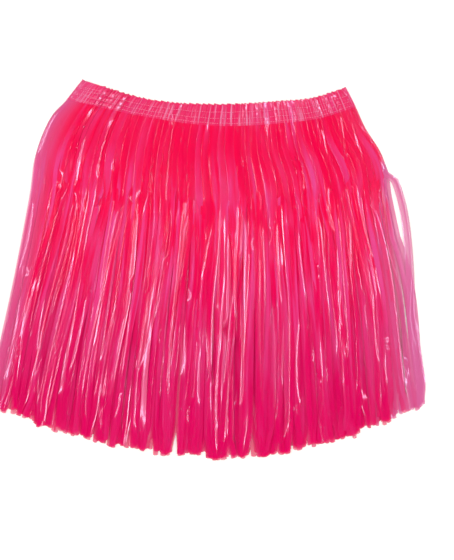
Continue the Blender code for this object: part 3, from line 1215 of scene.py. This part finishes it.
@dataclass
class BandSkin:
    """The heights of a ply's outward face over the band."""

    ply: FilmPly
    rows: tuple[float, ...] = (2.0, 5.0, 8.0, 11.0, 14.0, 16.3, 18.6, 21.0)
    bins: int = 500
    outward: float = field(init=False)
    faces: list[tuple[Array, Array]] = field(init=False)

    def __post_init__(self) -> None:
        """Measures the outermost film of each row."""
        self.outward = 1.0 if self.ply.level else -1.0
        self.faces = []
        along = np.linspace(0.0, CUT_WIDTH, 12 * self.bins)
        for row in self.rows:
            points = self.ply.sheet(along, np.full_like(along, row))
            edges = np.linspace(points[:, 0].min(), points[:, 0].max(), self.bins + 1)
            index = np.clip(np.digitize(points[:, 0], edges) - 1, 0, self.bins - 1)
            best = np.full(self.bins, -np.inf)
            np.maximum.at(best, index, points[:, 2] * self.outward)
            known = np.isfinite(best)
            middles = (edges[:-1] + edges[1:]) / 2
            self.faces.append((middles[known], best[known] * self.outward))

    def height(self, x: Array, drop: float) -> Array:
        """The outward face's height at places across, on the row nearest to a drop."""
        row = int(np.argmin(np.abs(np.array(self.rows) - drop)))
        return np.interp(x, *self.faces[row])


# The sewn box at the left, as lines between pixels of the photograph.
JOIN_LINES = (
    ((80.4, 87.2), (100.8, 91.8)),
    ((78.9, 91.0), (98.2, 94.8)),
    ((79.4, 93.5), (97.9, 99.9)),
    ((78.7, 91.0), (77.2, 101.0)),
    ((77.2, 101.0), (96.7, 105.6)),
    ((98.2, 94.8), (97.0, 105.0)),
)


@dataclass
class Stitching:
    """Rows of thread over one side of the band, and the sewn box where the elastic is joined."""

    name: str
    ply: FilmPly
    rows: tuple[float, ...] = (8.0, 14.0, 18.6)
    row_length: float = 272.0
    margin: float = 0.015  # share of the width without stitches at each end
    pitch: float = 2.3
    stitch: float = 1.9
    uneven: float = 0.15  # share of the pitch by which a stitch may be late
    stray: float = 0.25  # how far a row strays up and down, and its waves across the width
    stray_waves: float = 90.0
    thickness: float = 0.17
    taper: int = 6  # how blunt a stitch's ends are
    lift: float = 0.1  # of a stitch's ends over the film, and of its middle over the ends
    arch: float = 0.12
    gap: float = 0.02
    sides: int = 6
    points: int = 6
    join: bool = False
    join_across: float = 0.06  # where the sewn box lies
    skin: BandSkin = field(init=False)

    def __post_init__(self) -> None:
        """Measures the face that the stitches lie on."""
        self.skin = BandSkin(self.ply)

    def build(self, finish: bpy.types.Material) -> bpy.types.Object:
        """Makes every stitch of this side as one mesh.

        Args:
            finish: the thread's material.

        Returns:
            The stitching's piece.
        """
        paths = []
        for row in self.rows:
            paths += self.row_of_stitches(row)
        if self.join:
            for start, end in JOIN_LINES:
                paths += self.join_line(photo_point(start), photo_point(end))
        points, faces, cuts = [], [], []
        count = 0
        for path in paths:
            tube = self.tube(path)
            rings, sides = tube.shape[:2]
            closed = np.concatenate([tube, tube[:, :1]], axis=1)
            faces.append(grid_faces(rings, sides + 1, count))
            points.append(closed.reshape(-1, 3))
            cuts.append(closed.reshape(-1, 3)[:, :2] * METRES)
            count += rings * (sides + 1)
        placed = self.ply.drawing.to_frame(np.concatenate(points))
        faces, cuts = np.concatenate(faces), np.concatenate(cuts)
        piece = add_piece(self.name, placed, faces, cuts, finish)
        weld(piece)
        return piece

    def row_of_stitches(self, row: float) -> list[Array]:
        """The stitches of one row.

        Args:
            row: its drop below the waist.

        Returns:
            A short path over the gathers for each stitch.
        """
        inside = 1 - 2 * self.margin
        count = int(self.row_length * inside / self.pitch)
        pick = np.random.default_rng(int(row * 10) + self.ply.level)
        paths = []
        for k in range(count):
            start = self.margin + inside * (k + pick.uniform(0.0, self.uneven)) / count
            across = np.linspace(start, start + self.stitch / self.row_length, self.points)
            drop = row + self.stray * np.sin(across * self.stray_waves + row)
            x, y = self.ply.drawing.place(across, drop)
            paths.append(self.lay(x, y, row))
        return paths

    def join_line(self, start: Pair, end: Pair) -> list[Array]:
        """The stitches of one straight line of the sewn box.

        Args:
            start: where the line starts on the drawing.
            end: where it ends.

        Returns:
            A short path for each stitch.
        """
        count = max(1, round(math.dist(start, end) / self.pitch))
        _, waist = self.ply.drawing.place(np.array([self.join_across]), np.array([0.0]))
        paths = []
        for k in range(count):
            share = np.linspace(k, k + self.stitch / self.pitch, self.points) / count
            x = start[0] + (end[0] - start[0]) * share
            y = start[1] + (end[1] - start[1]) * share
            paths.append(self.lay(x, y, float(waist[0] - y.mean())))
        return paths

    def lay(self, x: Array, y: Array, drop: float) -> Array:
        """Lays a stitch on the band's outward face.

        Args:
            x: its points' places across.
            y: their places up the drawing.
            drop: about how far below the waist it lies.

        Returns:
            Its points.
        """
        arch = self.lift + self.arch * np.sin(np.linspace(0.0, math.pi, self.points))
        z = self.skin.height(x, drop) + self.skin.outward * arch
        return np.stack([x, y, np.maximum(z, self.thickness + self.gap)], axis=-1)

    def tube(self, path: Array) -> Array:
        """Rings of points round a stitch, closing to a point at both ends.

        Args:
            path: the middle of the thread.

        Returns:
            A ring for each point of the path.
        """
        run = np.gradient(path, axis=0)
        run /= np.linalg.norm(run, axis=1, keepdims=True)
        aside = np.stack([-run[:, 1], run[:, 0], np.zeros(len(run))], axis=-1)
        aside /= np.linalg.norm(aside, axis=1, keepdims=True)
        over = np.cross(run, aside)
        share = np.linspace(0.0, 1.0, len(path))
        radius = self.thickness * np.sqrt(np.clip(1 - (2 * share - 1) ** self.taper, 0.0, 1.0))
        turn = 2 * math.pi * np.arange(self.sides) / self.sides
        rings = (
            np.cos(turn)[None, :, None] * aside[:, None, :]
            + np.sin(turn)[None, :, None] * over[:, None, :]
        )
        return path[:, None, :] + rings * radius[:, None, None]


class LampUse(Enum):
    """What a lamp does: lights the film softly, or only shows in its gloss."""

    SOFT = "soft"
    GLOSS = "gloss"


@dataclass(frozen=True)
class Lamp:
    """A long or square soft lamp, turned to face the skirt."""

    name: str
    tilt: float  # degrees from straight above, towards the right
    distance: float
    width: float
    length: float
    glow: float  # brightness of its face
    use: LampUse
    colour: tuple[float, float, float] = (1.0, 1.0, 1.0)

    def build(self) -> None:
        """Adds the lamp."""
        lamp = bpy.data.lights.new(self.name, "AREA")
        lamp.shape = "RECTANGLE"
        lamp.size, lamp.size_y = self.width, self.length
        lamp.energy = self.glow * math.pi * self.width * self.length
        lamp.color = self.colour
        holder = bpy.data.objects.new(self.name, lamp)
        bpy.context.scene.collection.objects.link(holder)
        turn = math.radians(self.tilt)
        holder.location = (self.distance * math.sin(turn), 0.0, self.distance * math.cos(turn))
        holder.rotation_euler = (0.0, turn, 0.0)
        holder.visible_glossy = self.use is LampUse.GLOSS
        holder.visible_diffuse = self.use is LampUse.SOFT


STREAK_COLOUR = (0.72, 0.72, 1.0)
LAMPS = (
    Lamp("fill_above", 0.0, 2.3, 0.9, 0.9, 17.5, LampUse.SOFT),
    Lamp("sheen_left", -54.0, 1.9, 0.7, 2.0, 2.6, LampUse.GLOSS, STREAK_COLOUR),
    Lamp("streak_far_left", -66.0, 1.6, 0.12, 1.8, 21.0, LampUse.GLOSS, STREAK_COLOUR),
    Lamp("streak_left", -42.0, 1.6, 0.12, 1.8, 21.0, LampUse.GLOSS, STREAK_COLOUR),
    Lamp("streak_right", 50.0, 1.6, 0.10, 1.8, 22.0, LampUse.GLOSS, STREAK_COLOUR),
)


@dataclass(frozen=True)
class Studio:
    """The table, the soft light and the camera."""

    drawing: Drawing
    lamps: tuple[Lamp, ...] = LAMPS
    camera_height: float = 1.7
    sensor: float = 24.0
    white: Colour = (1.0, 1.0, 1.0, 1.0)
    daylight: float = 0.5
    table_size: float = 6.0
    table_tones: tuple[Colour, Colour] = ((0.95, 0.95, 0.90, 1.0), (0.96, 0.96, 0.91, 1.0))
    grain: float = 40.0  # patches of tone for each metre of the table

    def build(self) -> None:
        """Makes the table, the lights and the camera straight above the skirt."""
        self.table()
        for lamp in self.lamps:
            lamp.build()
        self.camera()
        world = bpy.data.worlds.new("studio")
        world.use_nodes = True
        background = world.node_tree.nodes["Background"]
        background.inputs["Color"].default_value = self.white
        background.inputs["Strength"].default_value = self.daylight
        world.cycles_visibility.glossy = False
        bpy.context.scene.world = world
        bpy.context.scene.view_settings.view_transform = "Standard"

    def table(self) -> None:
        """A plain pale table top."""
        bpy.ops.mesh.primitive_plane_add(size=self.table_size, location=(0.0, 0.0, 0.0))
        top = bpy.context.object
        top.name = "table_top"
        board = NodeBoard("table_top")
        noise = board.on_object("TexNoise", scale=self.grain)
        tone = board.mix(noise.outputs["Fac"], *self.table_tones)
        board.dress({"Base Color": tone, "Roughness": 0.9, "Specular IOR Level": 0.0})
        top.data.materials.append(board.material)

    def camera(self) -> None:
        """The camera straight above, with the photograph's frame."""
        lens = bpy.data.cameras.new("camera")
        lens.sensor_fit = "VERTICAL"
        lens.sensor_height = self.sensor
        lens.lens = self.sensor * self.camera_height / (PHOTO_SIZE[1] * PIXEL * METRES)
        eye = bpy.data.objects.new("camera", lens)
        bpy.context.scene.collection.objects.link(eye)
        x, y = photo_point((PHOTO_SIZE[0] / 2, PHOTO_SIZE[1] / 2))
        eye.location = (
            (x + self.drawing.shift_x) * METRES,
            (y + self.drawing.shift_y) * METRES,
            self.camera_height,
        )
        bpy.context.scene.camera = eye


def main() -> None:
    """Builds the studio and every piece of the skirt."""
    logging.basicConfig(level=logging.INFO, format="%(name)s: %(message)s")
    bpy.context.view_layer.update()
    drawing = Drawing.from_frame()
    Studio(drawing).build()

    back_outer = FilmPly("back_outer", 0, 0.0, 0.0, 0.0, LAID_PROFILE, drawing)
    back_inner = FilmPly("back_inner", 1, 1.7, 1.9, 0.2, HIDDEN_PROFILE, drawing, inset=0.006)
    front_inner = FilmPly("front_inner", 2, 4.2, 3.6, 0.65, HIDDEN_PROFILE, drawing, inset=0.006)
    front_outer = FilmPly(
        "front_outer", 3, 5.8, 5.3, 1.0, SHOWN_PROFILE, drawing, creases=MAIN_CREASES
    )
    film = FilmFinish("film").material()
    gathered = FilmFinish(
        "gathered_film",
        deep=(0.86, 0.018, 0.13, 1.0),
        # on the band, the fine pale streaks across the film are painted highlights along the
        # pleats' crests
        pale_and_sheen=(0.86, 0.30, 0.50, 1.0),
        pale_and_sheen_share=0.9,
        streaks=CutNoise(760.0, 22.0, 2.0, 3.0),
        streak_range=(0.50, 0.68),
        ragged=0.0,
        sideness=0.4,
        alpha=0.8,
        smoothest=0.14,
        roughest=0.30,
        crinkle=0.00018,
        crinkles=CutNoise(480.0, 14.0, 1.0, 7.0),
    ).material()
    thread = ThreadFinish().material()

    pieces = [
        Waistband("waistband_back", back_outer, back_inner).build(gathered),
        Waistband("waistband_front", front_outer, front_inner).build(gathered),
        Stitching("stitching_back", back_outer).build(thread),
        Stitching("stitching_front", front_outer, join=True).build(thread),
    ]
    tips = Bundles()
    fringes = (
        Fringe(back_outer, tips, wander=3.0, bundle=2.4, followers=3),
        Fringe(back_inner, tips, wander=1.6, bundle=1.3, narrowing=0.06),
        Fringe(front_inner, tips, wander=1.8, bundle=1.4, narrowing=0.04),
        Fringe(front_outer, tips, wander=4.8, bundle=3.4, bowed=2, followers=3),
    )
    for fringe in fringes:
        pieces.append(Yoke(fringe.ply).build(film))
        pieces.append(fringe.build(film))
    for piece in pieces:
        log.info("%s: %d faces", piece.name, len(piece.data.polygons))


if __name__ == "__main__":
    main()
